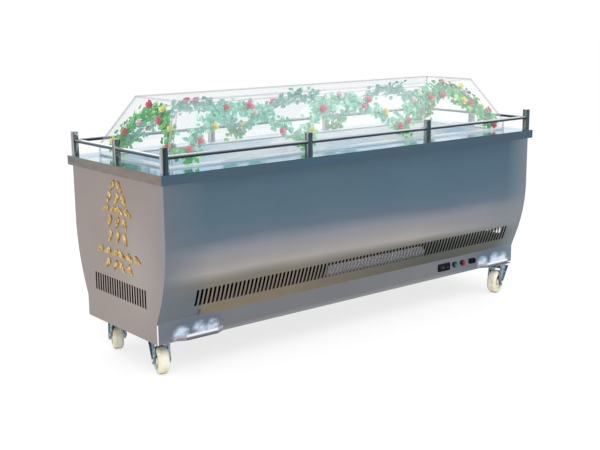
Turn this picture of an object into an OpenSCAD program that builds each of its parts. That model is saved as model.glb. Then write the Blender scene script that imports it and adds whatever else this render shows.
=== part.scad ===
// Refrigerated display casket on castors: a folded steel cabinet with a guard
// rail round its deck, and a clear double-walled cover that lifts off.
// Origin on the floor under the middle; X along the length, the front at -Y.

/* [Deck] */
// Length of the deck over its rim
deck_l = 2300; // [1900:1:2800]
// Width of the deck over its rim
deck_w = 812; // [676:1:980]
// Height of the deck above the floor
deck_z = 895; // [800:1:1080]
// Height of the rim's folded face
rim_h = 42; // [30:1:60]
// How far the rim stands out past the cabinet's ends
rim_out_x = 16; // [8:1:30]
// How far the rim stands out past the cabinet's sides
rim_out_y = 18; // [8:1:30]
// Thickness of the steel sheet
sheet = 1.5; // [1:0.1:3]

/* [Cabinet] */
// How far the skirt stands in from the upper side, on each side
flare = 85; // [70:1:100]
// Depth below the deck at which the sides start to curve in
bulge_drop = 280; // [240:1:320]
// Depth below the deck of the fold where the vertical skirt starts
skirt_drop = 640; // [600:1:660]
// Angle of the lower slope from the vertical
slope_angle = 22; // [20:0.5:24]
// Clearance between the cabinet's bottom edge and the floor
floor_gap = 161; // [161:1:180]
// Thickness of the base plate
base_t = 3; // [2:0.5:5]

/* [Grilles] */
// Width of one slot
slot_w = 12; // [6:0.5:13]
// Height of the slots, measured up the panel
slot_h = 81; // [50:1:90]
// Spacing of the slots in the front and back
slot_pitch = 22; // [18:0.5:30]
// Spacing of the slots in the ends
end_pitch = 21.5; // [18:0.5:26]
// Depth of the slots' middle below the deck
slot_drop = 552; // [540:1:570]
// Plain sheet left of the front grille
front_margin_l = 178; // [100:1:300]
// Plain sheet right of the front grille
front_margin_r = 110; // [80:1:300]
// Number of slots in the back grille
back_slots = 41; // [11:1:61]
// Number of slots in each end grille
end_slots = 21; // [9:1:21]
// Left edge of the sheet that stands behind the front slots
baffle_x0 = -220; // [-500:1:-100]
// Right edge of that sheet
baffle_x1 = 440; // [200:1:600]
// Air space between that sheet and the front panel
baffle_gap = 9; // [5:1:20]
// Depth of that sheet's top edge below the deck
baffle_drop = 532; // [525:1:560]
// Radius of that sheet's right shoulder
baffle_r = 70; // [20:1:90]

/* [Chamber] */
// Depth of the chamber below the deck
chamber_depth = 300; // [150:1:360]
// Width of the flange that hangs the chamber in the deck
flange_w = 18; // [12:1:30]
// Clearance round the flange and the chamber's walls
chamber_play = 1.5; // [1:0.5:4]

/* [Guard rail] */
// Side of the square posts
post_w = 25; // [20:1:30]
// Height of the posts above the deck
post_h = 108; // [90:1:140]
// Wall of the posts
post_t = 1.5; // [1:0.5:2.5]
// Distance of the corner posts' middles from the deck's ends
post_in_x = 29; // [20:1:45]
// Distance of the posts' middles from the deck's sides
post_in_y = 23.5; // [18:0.5:40]
// Diameter of the round rail
rail_d = 18; // [14:1:19]
// Wall of the rail
rail_t = 1.5; // [1:0.5:2.5]
// Height of the rail's middle above the deck
rail_z = 67; // [40:1:80]

/* [Cover] */
// Distance of the cover's foot from the deck's ends
cover_in_x = 102; // [85:1:130]
// Distance of the cover's foot from the deck's sides
cover_in_y = 110; // [90:1:120]
// Height of the cover's top above the deck
cover_h = 271; // [220:1:325]
// Height of the upright foot of the cover
fold_h = 52; // [40:1:70]
// How far each end leans in from the fold to the top
lean_x = 123.5; // [80:0.5:150]
// How far each side leans in from the fold to the top
lean_y = 132; // [80:1:150]
// Thickness of the outer sheets
outer_t = 8; // [5:1:10]
// Thickness of the inner sheets
inner_t = 6; // [4:1:8]
// Space between the outer and the inner sheets
cover_gap = 42; // [25:1:50]
// Thickness of the strip that closes that space at the foot
foot_t = 8; // [5:1:12]

/* [Front fittings] */
// Length of each foot bracket
bracket_l = 240; // [150:1:280]
// How far the brackets stand out from the skirt
bracket_out = 20; // [12:1:30]
// Height of the brackets
bracket_h = 25; // [15:1:35]
// Length of the brackets' bevelled ends
bracket_bevel = 40; // [10:1:60]
// Wall of the brackets
bracket_t = 3; // [2:0.5:4]
// Distance of the left brackets' middles from the cabinet's left end
bracket_in_l = 212; // [180:1:300]
// Distance of the right brackets' middles from the cabinet's right end
bracket_in_r = 141; // [141:1:300]
// Height of the controls' middles above the skirt's bottom edge
control_z = 52; // [46:1:60]
// Distance of the display's middle from the cabinet's right end
display_in = 538; // [480:1:700]
// Width of the display
display_w = 84; // [60:1:100]
// Height of the display
display_h = 38; // [25:1:44]
// Distance of the green lamp from the cabinet's right end
green_in = 454; // [430:1:475]
// Distance of the red lamp from the cabinet's right end
red_in = 394; // [365:1:410]
// Diameter of the lamps' collars
lamp_d = 31; // [20:1:34]
// Distance of the power inlet from the cabinet's right end
inlet_in = 322; // [290:1:335]
// Width of the power inlet
inlet_w = 38; // [36:1:48]
// Height of the power inlet
inlet_h = 25; // [22:1:30]

/* [Gold strokes] */
// Depth of the topmost row below the deck
stroke_drop = 98; // [90:1:110]
// Spacing of the strokes in a row
stroke_pitch = 66; // [62:0.5:70]
// Length of one stroke between its end circles
stroke_l = 38; // [30:1:38]
// Radius of a stroke's broad end
stroke_r = 14; // [8:0.5:14]
// Radius of a stroke's fine end
stroke_fine = 5; // [3:0.5:5]
// Thickness of the strokes
stroke_t = 3; // [2:0.5:5]

/* [Castors] */
// Diameter of the wheels
wheel_d = 125; // [100:1:125]
// Width of the wheels
wheel_w = 50; // [32:1:50]
// Distance of the swivel axis from the wheel's axle
trail = 36; // [28:1:42]
// Length of the mounting plates
plate_x = 100; // [84:1:110]
// Width of the mounting plates
plate_y = 84; // [80:1:100]
// Distance of the left swivel axes from the deck's left end
castor_in_l = 93; // [80:1:200]
// Distance of the right swivel axes from the deck's right end
castor_in_r = 99; // [80:1:200]
// How far the left swivel axes stand inside the skirt
castor_skirt_l = 123; // [50:1:180]
// How far the right swivel axes stand inside the skirt
castor_skirt_r = 19; // [0:1:150]
// Direction in which the front left wheel trails
head_front_left = 253; // [0:1:360]
// Direction in which the back left wheel trails
head_back_left = 68; // [0:1:360]
// Direction in which the front right wheel trails
head_front_right = 195; // [0:1:360]
// Direction in which the back right wheel trails
head_back_right = 205; // [0:1:360]

/* [Hidden] */
$fn = 64;
// A cutter reaches this far past the face it cuts
over = 1;
arc_steps = 12;

// Cabinet
cab_x = deck_l / 2 - rim_out_x;
cab_y = deck_w / 2 - rim_out_y;
skirt_y = cab_y - flare;
in_x = cab_x - sheet;
cab_top = deck_z - sheet;
bulge_z = deck_z - bulge_drop;
skirt_z = deck_z - skirt_drop;
slot_z = deck_z - slot_drop;
slot_cut = 20;
base_top = floor_gap + base_t;
// Radius that joins the upright side to the lower slope
bulge_r = ((bulge_z - skirt_z) * sin(slope_angle) - flare * cos(slope_angle)) / (1 - cos(slope_angle));
baffle_top = deck_z - baffle_drop;

// Front fittings
display_out = 5;
display_frame = 4;
screen_depth = 2;
lamp_collar = 5;
lamp_out = 16;
lamp_lens_d = 0.76 * lamp_d;
inlet_out = 9;
inlet_frame = 5;
socket_depth = 6;

// Guard rail
post_x = deck_l / 2 - post_in_x;
post_y = deck_w / 2 - post_in_y;
bay = 2 * post_x / 3;
rail_play = 0.05;

// Cover
foot_x = deck_l / 2 - cover_in_x;
foot_y = deck_w / 2 - cover_in_y;
inner_off = outer_t + cover_gap;

// Chamber, hung inside the cover's inner walls
flange_x = foot_x - inner_off - inner_t - chamber_play;
flange_y = foot_y - inner_off - inner_t - chamber_play;
tub_x = flange_x - flange_w;
tub_y = flange_y - flange_w;

// Castors
plate_t = 4;
race_h = 7;
race_r = 34;
race_gap = 0.5;
crown_t = 5;
crown_r = 42;
kingpin_r = 8;
kingpin_nut = 4.5;
kingpin_nut_r = 13;
pin_play = 0.05;
leg_t = 3.5;
leg_rim = 7;
leg_r = 17;
side_play = 3.5;
hub_play = 0.5;
axle_r = 6;
axle_head = 12;
axle_head_r = 10;
hub_r = 17;
tyre_t = 19;
web_t = 24;
shoulder_r = 16;
shoulder_steps = 10;
taper = 3;
axle_z = wheel_d / 2;
leg_in = wheel_w / 2 + side_play;
leg_out = leg_in + leg_t;
plate_z = floor_gap - plate_t;
race_z = plate_z - race_h;
crown_top = race_z - race_gap;
crown_z = crown_top - race_h - crown_t;
castor_x_l = -(deck_l / 2 - castor_in_l);
castor_x_r = deck_l / 2 - castor_in_r;
castor_y_l = skirt_y - castor_skirt_l;
castor_y_r = skirt_y - castor_skirt_r;
CASTORS = [
    ["front_left", castor_x_l, -castor_y_l, head_front_left],
    ["back_left", castor_x_l, castor_y_l, head_back_left],
    ["front_right", castor_x_r, -castor_y_r, head_front_right],
    ["back_right", castor_x_r, castor_y_r, head_back_right]
];

// Posts: name, then place
POSTS = [
    ["post_front_left", -post_x, -post_y],
    ["post_front_mid_left", -bay / 2, -post_y],
    ["post_front_mid_right", bay / 2, -post_y],
    ["post_front_right", post_x, -post_y],
    ["post_back_left", -post_x, post_y],
    ["post_back_mid_left", -bay / 2, post_y],
    ["post_back_mid_right", bay / 2, post_y],
    ["post_back_right", post_x, post_y],
    ["post_end_left", -post_x, 0],
    ["post_end_right", post_x, 0]
];

// Brackets: name, middle, and side of the cabinet
BRACKETS = [
    ["bracket_front_left", -cab_x + bracket_in_l, -1],
    ["bracket_front_right", cab_x - bracket_in_r, -1],
    ["bracket_back_left", -cab_x + bracket_in_l, 1],
    ["bracket_back_right", cab_x - bracket_in_r, 1]
];

// Rows of strokes: how far below the topmost row, how many strokes, and how steeply they fall outwards
STROKE_ROWS = [
    [0, 2, 50], [56, 3, 58], [105, 4, 20], [160, 3, 66],
    [227, 3, 70], [298, 6, 22], [354, 4, 50]
];

// ---- Shapes of the cabinet's side ----

// Lower end of the bulge's curve, for a surface that lies off inside the outer one
function curve_end_z(off) = bulge_z - (bulge_r - off) * sin(slope_angle);
function curve_end_y(off) = cab_y - bulge_r + (bulge_r - off) * cos(slope_angle);

// Fold where the slope meets the skirt
function fold_z(off) = curve_end_z(off) - (curve_end_y(off) - skirt_y + off) / tan(slope_angle);

// Half-width of the cabinet at height z
function half_y(z, off) =
    z >= bulge_z ? cab_y - off :
    z >= curve_end_z(off) ? cab_y - bulge_r + sqrt(pow(bulge_r - off, 2) - pow(bulge_z - z, 2)) :
    z >= fold_z(off) ? curve_end_y(off) - (curve_end_z(off) - z) * tan(slope_angle) :
    skirt_y - off;

// Points down the side from z_top to z_bottom
function side(off, z_top, z_bottom) =
    let (
        bends = [for (i = [0 : arc_steps]) bulge_z - (bulge_r - off) * sin(slope_angle * i / arc_steps)],
        levels = concat([z_top], [for (z = bends) if (z < z_top && z > z_bottom) z], [fold_z(off), z_bottom])
    )
    [for (z = levels) [half_y(z, off), z]];

function reversed(list) = [for (i = [len(list) - 1 : -1 : 0]) list[i]];

function mirrored(points) = [for (p = points) [-p[0], p[1]]];

// A sheet that follows the side, on the front
function side_sheet(off, t, z_top, z_bottom) =
    mirrored(concat(side(off, z_top, z_bottom), reversed(side(off + t, z_top, z_bottom))));

// Extrudes an outline drawn in Y and Z along X
module along_x(x0, x1) {
    translate([x0, 0, 0]) rotate([90, 0, 90]) linear_extrude(x1 - x0) children();
}

// Extrudes an outline drawn in X and Z along Y
module along_y(y0, y1) {
    translate([0, y1, 0]) rotate([90, 0, 0]) linear_extrude(y1 - y0) children();
}

// ---- Cabinet ----

// Cutters for a row of slots in the front, from x0 and count long
module front_slots(x0, count) {
    for (i = [0 : count - 1])
        translate([x0 + i * slot_pitch, -half_y(slot_z, 0), slot_z])
            rotate([slope_angle, 0, 0])
                cube([slot_w, slot_cut, slot_h], center = true);
}

module side_panel(x0, count) {
    difference() {
        along_x(-in_x, in_x) polygon(side_sheet(0, sheet, cab_top, floor_gap));
        front_slots(x0, count);
    }
}

module front_panel() {
    first = -cab_x + front_margin_l;
    count = 1 + floor((2 * cab_x - front_margin_l - front_margin_r) / slot_pitch);
    color("lightsteelblue") side_panel(first, count);
}

module back_panel() {
    color("lightsteelblue") mirror([0, 1, 0]) side_panel(-(back_slots - 1) / 2 * slot_pitch, back_slots);
}

// End panel, its outer face at x = 0 and its thickness towards +X
module end_panel() {
    outline = side(0, cab_top, floor_gap);
    difference() {
        along_x(0, sheet) polygon(concat(mirrored(outline), reversed(outline)));
        for (i = [0 : end_slots - 1])
            translate([-over, (i - (end_slots - 1) / 2) * end_pitch - slot_w / 2, slot_z - slot_h / 2])
                cube([sheet + 2 * over, slot_w, slot_h]);
    }
}

module left_end_panel() {
    color("tan") translate([-cab_x, 0, 0]) end_panel();
}

module right_end_panel() {
    color("tan") translate([in_x, 0, 0]) end_panel();
}

module block(hx, hy, z0, z1) {
    translate([-hx, -hy, z0]) cube([2 * hx, 2 * hy, z1 - z0]);
}

module deck() {
    color("lightblue") difference() {
        block(deck_l / 2, deck_w / 2, deck_z - rim_h, deck_z);
        block(deck_l / 2 - sheet, deck_w / 2 - sheet, deck_z - rim_h + sheet, cab_top);
        block(cab_x, cab_y, deck_z - rim_h - over, deck_z - rim_h + sheet + over);
        block(tub_x + chamber_play, tub_y + chamber_play, cab_top - over, deck_z + over);
    }
}

module base_plate() {
    color("gray") block(in_x, skirt_y - sheet, floor_gap, base_top);
}

module grille_baffle() {
    off = sheet + baffle_gap;
    color("lightgray") intersection() {
        along_x(baffle_x0, baffle_x1) polygon(side_sheet(off, sheet, baffle_top, base_top));
        along_y(-cab_y, 0) union() {
            translate([baffle_x0, base_top])
                square([baffle_x1 - baffle_x0 - baffle_r, baffle_top - base_top]);
            translate([baffle_x0, base_top])
                square([baffle_x1 - baffle_x0, baffle_top - base_top - baffle_r]);
            translate([baffle_x1 - baffle_r, baffle_top - baffle_r]) circle(baffle_r);
        }
    }
}

module chamber_tub() {
    floor_z = deck_z - chamber_depth;
    color("silver") difference() {
        union() {
            block(flange_x, flange_y, deck_z, deck_z + sheet);
            block(tub_x, tub_y, floor_z - sheet, deck_z + sheet);
        }
        block(tub_x - sheet, tub_y - sheet, floor_z, deck_z + sheet + over);
    }
}

// ---- Guard rail ----

module rail_tube(length, radius) {
    rotate([0, 90, 0]) cylinder(r = radius, h = length, center = true);
}

// Square tube, closed on top; a middle post is bored for the rail
module post(p) {
    corner = abs(p[1]) == post_x && p[2] != 0;
    turn = p[2] == 0 ? 90 : 0;
    color("darkslategray") translate([p[1], p[2], deck_z]) difference() {
        translate([-post_w / 2, -post_w / 2, 0]) cube([post_w, post_w, post_h]);
        translate([-post_w / 2 + post_t, -post_w / 2 + post_t, -over])
            cube([post_w - 2 * post_t, post_w - 2 * post_t, post_h - post_t + over]);
        if (!corner)
            translate([0, 0, rail_z]) rotate([0, 0, turn])
                rail_tube(post_w + 2 * over, rail_d / 2 + rail_play);
    }
}

module rail(length) {
    color("silver") difference() {
        rail_tube(length, rail_d / 2);
        rail_tube(length + 2 * over, rail_d / 2 - rail_t);
    }
}

module rail_side(y) {
    translate([0, y, deck_z + rail_z]) rail(2 * post_x - post_w);
}

module rail_end(x) {
    translate([x, 0, deck_z + rail_z]) rotate([0, 0, 90]) rail(2 * post_y - post_w);
}

// ---- Cover ----

// Slope of a leaning wall, from the vertical
function lean_angle(lean) = atan(lean / (cover_h - fold_h));

// Height of a leaning wall's fold, for a surface off inside the outer one
function roof_fold(lean, off) = deck_z + fold_h - off * tan(lean_angle(lean) / 2);

// Half-width of the leaning part at height z
function roof_half(half, lean, off, z) =
    half - lean * (z - deck_z - fold_h) / (cover_h - fold_h) - off / cos(lean_angle(lean));

// Outline of the hip roof across its foot
function roof(half, lean, off) =
    let (
        foot = half - off,
        z1 = deck_z + cover_h - off,
        top = roof_half(half, lean, off, z1)
    )
    [[-foot, deck_z], [foot, deck_z], [foot, roof_fold(lean, off)], [top, z1],
     [-top, z1], [-foot, roof_fold(lean, off)]];

// Section of one bent sheet, from the foot to the underside of the top sheet
function bent_sheet(half, lean, off, t) =
    let (
        inner = off + t,
        z1 = deck_z + cover_h - inner
    )
    [[-half + off, deck_z], [-half + off, roof_fold(lean, off)], [-roof_half(half, lean, off, z1), z1],
     [-roof_half(half, lean, inner, z1), z1], [-half + inner, roof_fold(lean, inner)],
     [-half + inner, deck_z]];

module roof_along_x(off) {
    along_x(-foot_x, foot_x) polygon(roof(foot_y, lean_y, off));
}

module roof_along_y(off) {
    along_y(-foot_y, foot_y) polygon(roof(foot_x, lean_x, off));
}

// Bent sheet on the front, cut to the slopes of the ends
module cover_side(off, t) {
    color("aliceblue", 0.4) intersection() {
        along_x(-foot_x, foot_x) polygon(bent_sheet(foot_y, lean_y, off, t));
        roof_along_y(off);
    }
}

// Bent sheet on the left, between the side sheets
module cover_end(off, t) {
    color("aliceblue", 0.4) intersection() {
        along_y(-foot_y, foot_y) polygon(bent_sheet(foot_x, lean_x, off, t));
        roof_along_x(off + t);
    }
}

module cover_top(off, t) {
    color("aliceblue", 0.4) intersection() {
        roof_along_x(off);
        roof_along_y(off);
        block(foot_x, foot_y, deck_z + cover_h - off - t, deck_z + cover_h - off);
    }
}

module cover_foot() {
    color("whitesmoke") difference() {
        block(foot_x - outer_t, foot_y - outer_t, deck_z, deck_z + foot_t);
        block(foot_x - inner_off, foot_y - inner_off, deck_z - over, deck_z + foot_t + over);
    }
}

// ---- Fittings ----

// Plan of a foot bracket with bevelled ends, its back at y = 0, or of its hollow
function bracket_plan(wall) =
    let (
        slope = bracket_bevel / bracket_out,
        half = bracket_l / 2 - wall * sqrt(1 + pow(slope, 2)),
        front = bracket_out - wall,
        back = wall > 0 ? over : 0
    )
    [[-half - back * slope, back], [half + back * slope, back],
     [half - front * slope, -front], [-half + front * slope, -front]];

// Hollow box, open against the skirt
module bracket(b) {
    color("silver") translate([b[1], b[2] * skirt_y, floor_gap]) mirror([0, b[2] > 0 ? 1 : 0, 0])
        difference() {
            linear_extrude(bracket_h) polygon(bracket_plan(0));
            translate([0, 0, bracket_t])
                linear_extrude(bracket_h - 2 * bracket_t) polygon(bracket_plan(bracket_t));
        }
}

// Carries a fitting to its place on the skirt's front, drawn with its face towards -Y
module on_skirt(inset) {
    translate([cab_x - inset, -skirt_y, floor_gap + control_z]) children();
}

module display() {
    color("black") on_skirt(display_in) difference() {
        translate([-display_w / 2, -display_out, -display_h / 2]) cube([display_w, display_out, display_h]);
        translate([-display_w / 2 + display_frame, -display_out - over, -display_h / 2 + display_frame])
            cube([display_w - 2 * display_frame, screen_depth + over, display_h - 2 * display_frame]);
    }
}

module lamp() {
    rotate([90, 0, 0]) cylinder(d = lamp_d, h = lamp_collar);
    rotate([90, 0, 0]) cylinder(d = lamp_lens_d, h = lamp_out);
}

module green_lamp() {
    color("green") on_skirt(green_in) lamp();
}

module red_lamp() {
    color("red") on_skirt(red_in) lamp();
}

module power_inlet() {
    color("black") on_skirt(inlet_in) difference() {
        translate([-inlet_w / 2, -inlet_out, -inlet_h / 2]) cube([inlet_w, inlet_out, inlet_h]);
        translate([-inlet_w / 2 + inlet_frame, -inlet_out - over, -inlet_h / 2 + inlet_frame])
            cube([inlet_w - 2 * inlet_frame, socket_depth + over, inlet_h - 2 * inlet_frame]);
    }
}

// Points along an arc about [x, 0]
function arc(x, r, first, last) = [
    for (i = [0 : arc_steps])
        let (a = first + (last - first) * i / arc_steps)
        [x + r * cos(a), r * sin(a)]
];

// One brush-like stroke from a broad end to a fine end, with straight flanks
module stroke() {
    lean = asin((stroke_r - stroke_fine) / stroke_l);
    polygon(concat(
        arc(0, stroke_r, 90 - lean, 270 + lean),
        arc(stroke_l, stroke_fine, lean - 90, 90 - lean)
    ));
}

// Rows of strokes on the left end, falling outwards from the middle
module gold_strokes() {
    color("goldenrod") for (row = STROKE_ROWS)
        for (i = [0 : row[1] - 1])
            let (
                place = i - (row[1] - 1) / 2,
                turn = place < 0 ? 180 + row[2] : -row[2],
                y = place * stroke_pitch - stroke_l / 2 * cos(turn),
                z = deck_z - stroke_drop - row[0] - stroke_l / 2 * sin(turn)
            )
            along_x(-cab_x - stroke_t, -cab_x) translate([y, z]) rotate(turn) stroke();
}

// ---- Castors, drawn about the swivel axis with the wheel trailing towards +X ----

module at_castor(c, turn) {
    translate([c[1], c[2], 0]) rotate([0, 0, turn]) children();
}

module castor_plate(c) {
    color("silver") at_castor(c, 0) {
        translate([-plate_x / 2, -plate_y / 2, plate_z]) cube([plate_x, plate_y, plate_t]);
        translate([0, 0, race_z]) cylinder(r = race_r, h = race_h);
        translate([0, 0, crown_z - race_gap - kingpin_nut])
            cylinder(r = kingpin_r, h = race_z - crown_z + race_gap + kingpin_nut);
        translate([0, 0, crown_z - race_gap - kingpin_nut])
            cylinder(r = kingpin_nut_r, h = kingpin_nut, $fn = 6);
    }
}

// Outline of a fork leg, in X and Z, or of the hollow between its folded edges
module leg_outline(wall) {
    top = crown_z + crown_t + (wall > 0 ? over : 0);
    translate([trail, axle_z]) circle(leg_r - wall);
    polygon([
        [-crown_r + wall, top],
        [-crown_r + wall, crown_z],
        [trail - leg_r + wall, axle_z],
        [trail + leg_r - wall, axle_z],
        [crown_r - wall, crown_z],
        [crown_r - wall, top]
    ]);
}

// Fork leg on the +Y side: a plate with its front and back edges folded outwards
module fork_leg() {
    along_y(leg_in, leg_out) leg_outline(0);
    along_y(leg_out, leg_out + leg_rim) difference() {
        leg_outline(0);
        leg_outline(leg_t);
    }
}

module castor_fork(c) {
    color("silver") at_castor(c, c[3]) difference() {
        union() {
            translate([-crown_r, -leg_out, crown_z]) cube([2 * crown_r, 2 * leg_out, crown_t]);
            translate([0, 0, crown_z + crown_t]) cylinder(r = race_r, h = race_h);
            fork_leg();
            mirror([0, 1, 0]) fork_leg();
        }
        translate([0, 0, crown_z - over])
            cylinder(r = kingpin_r + pin_play, h = crown_top - crown_z + 2 * over);
        translate([trail, 0, axle_z]) rotate([90, 0, 0])
            cylinder(r = axle_r + pin_play, h = 2 * leg_out + 2 * over, center = true);
    }
}

module castor_axle(c) {
    color("silver") at_castor(c, c[3]) translate([trail, 0, axle_z]) rotate([90, 0, 0]) {
        cylinder(r = axle_r, h = 2 * leg_out, center = true);
        for (turn = [0, 180])
            rotate([turn, 0, 0]) translate([0, 0, leg_out])
                cylinder(r = axle_head_r, h = axle_head, $fn = 6);
    }
}

// Section of the wheel, radius against half-width, with rounded shoulders
function wheel_section() =
    let (
        r = wheel_d / 2,
        w = wheel_w / 2,
        turns = [for (i = [0 : shoulder_steps]) 90 * i / shoulder_steps],
        shoulder = [
            for (a = turns) [r - shoulder_r + shoulder_r * cos(a), w - shoulder_r + shoulder_r * sin(a)]
        ],
        half = concat(shoulder, [
            [r - tyre_t, w], [r - tyre_t - taper, web_t / 2], [hub_r + taper, web_t / 2],
            [hub_r, leg_in - hub_play], [axle_r + pin_play, leg_in - hub_play]
        ])
    )
    concat(half, reversed([for (p = half) [p[0], -p[1]]]));

module castor_wheel(c) {
    color("cornsilk") at_castor(c, c[3]) translate([trail, 0, axle_z]) rotate([90, 0, 0])
        rotate_extrude() polygon(wheel_section());
}

// ---- One line for each node ----

front_panel();
back_panel();
left_end_panel();
right_end_panel();
deck();
base_plate();
grille_baffle();
chamber_tub();
for (p = POSTS) post(p);
rail_side(-post_y);  // rail_front
rail_side(post_y);  // rail_back
rail_end(-post_x);  // rail_left
rail_end(post_x);  // rail_right
cover_side(0, outer_t);  // cover_outer_front
mirror([0, 1, 0]) cover_side(0, outer_t);  // cover_outer_back
cover_end(0, outer_t);  // cover_outer_left
mirror([1, 0, 0]) cover_end(0, outer_t);  // cover_outer_right
cover_top(0, outer_t);  // cover_outer_top
cover_side(inner_off, inner_t);  // cover_inner_front
mirror([0, 1, 0]) cover_side(inner_off, inner_t);  // cover_inner_back
cover_end(inner_off, inner_t);  // cover_inner_left
mirror([1, 0, 0]) cover_end(inner_off, inner_t);  // cover_inner_right
cover_top(inner_off, inner_t);  // cover_inner_top
cover_foot();
gold_strokes();
display();
green_lamp();
red_lamp();
power_inlet();
for (b = BRACKETS) bracket(b);
for (c = CASTORS) castor_plate(c);
for (c = CASTORS) castor_fork(c);
for (c = CASTORS) castor_axle(c);
for (c = CASTORS) castor_wheel(c);
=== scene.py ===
"""Looks of the refrigerated display casket: steel, clear acrylic, garlands, castors."""

import math
import random

import bpy
from mathutils import Matrix, Quaternion, Vector


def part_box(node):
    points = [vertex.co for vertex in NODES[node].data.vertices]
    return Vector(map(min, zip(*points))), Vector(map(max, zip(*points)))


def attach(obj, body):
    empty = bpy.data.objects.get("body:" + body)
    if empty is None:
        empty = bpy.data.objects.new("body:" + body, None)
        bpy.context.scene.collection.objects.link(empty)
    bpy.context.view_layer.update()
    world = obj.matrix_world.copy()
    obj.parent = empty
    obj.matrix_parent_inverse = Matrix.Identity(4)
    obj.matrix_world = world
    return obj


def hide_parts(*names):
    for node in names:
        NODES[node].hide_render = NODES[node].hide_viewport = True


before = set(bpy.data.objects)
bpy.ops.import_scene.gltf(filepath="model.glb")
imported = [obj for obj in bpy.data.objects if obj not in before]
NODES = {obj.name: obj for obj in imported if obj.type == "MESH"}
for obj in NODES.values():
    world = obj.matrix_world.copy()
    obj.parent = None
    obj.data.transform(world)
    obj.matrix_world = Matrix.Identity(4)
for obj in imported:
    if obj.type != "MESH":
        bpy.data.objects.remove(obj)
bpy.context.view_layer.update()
CABINET = "cabinet"
SIDES = ("front", "back", "left", "right")
MM = 0.001

random.seed(11)


# ---- Small helpers ----

def srgb(r, g, b):
    """A colour given in 0 to 255 display values, as linear RGBA."""
    def linear(c):
        c /= 255
        return c / 12.92 if c <= 0.04045 else ((c + 0.055) / 1.055) ** 2.4
    return (linear(r), linear(g), linear(b), 1)


def new_piece(name, verts, faces, smooth=False):
    """Adds a mesh object to the scene."""
    mesh = bpy.data.meshes.new(name)
    mesh.from_pydata(verts, [], faces)
    mesh.update()
    piece = bpy.data.objects.new(name, mesh)
    bpy.context.scene.collection.objects.link(piece)
    if smooth:
        for polygon in mesh.polygons:
            polygon.use_smooth = True
    return piece


def add_piece(name, verts, faces, material, body=CABINET, smooth=False):
    """Adds a piece that rides on a body, with its material and slot."""
    piece = new_piece(name, verts, faces, smooth)
    piece.data.materials.append(material)
    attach(piece, body)
    return piece


# ---- Materials ----

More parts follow.
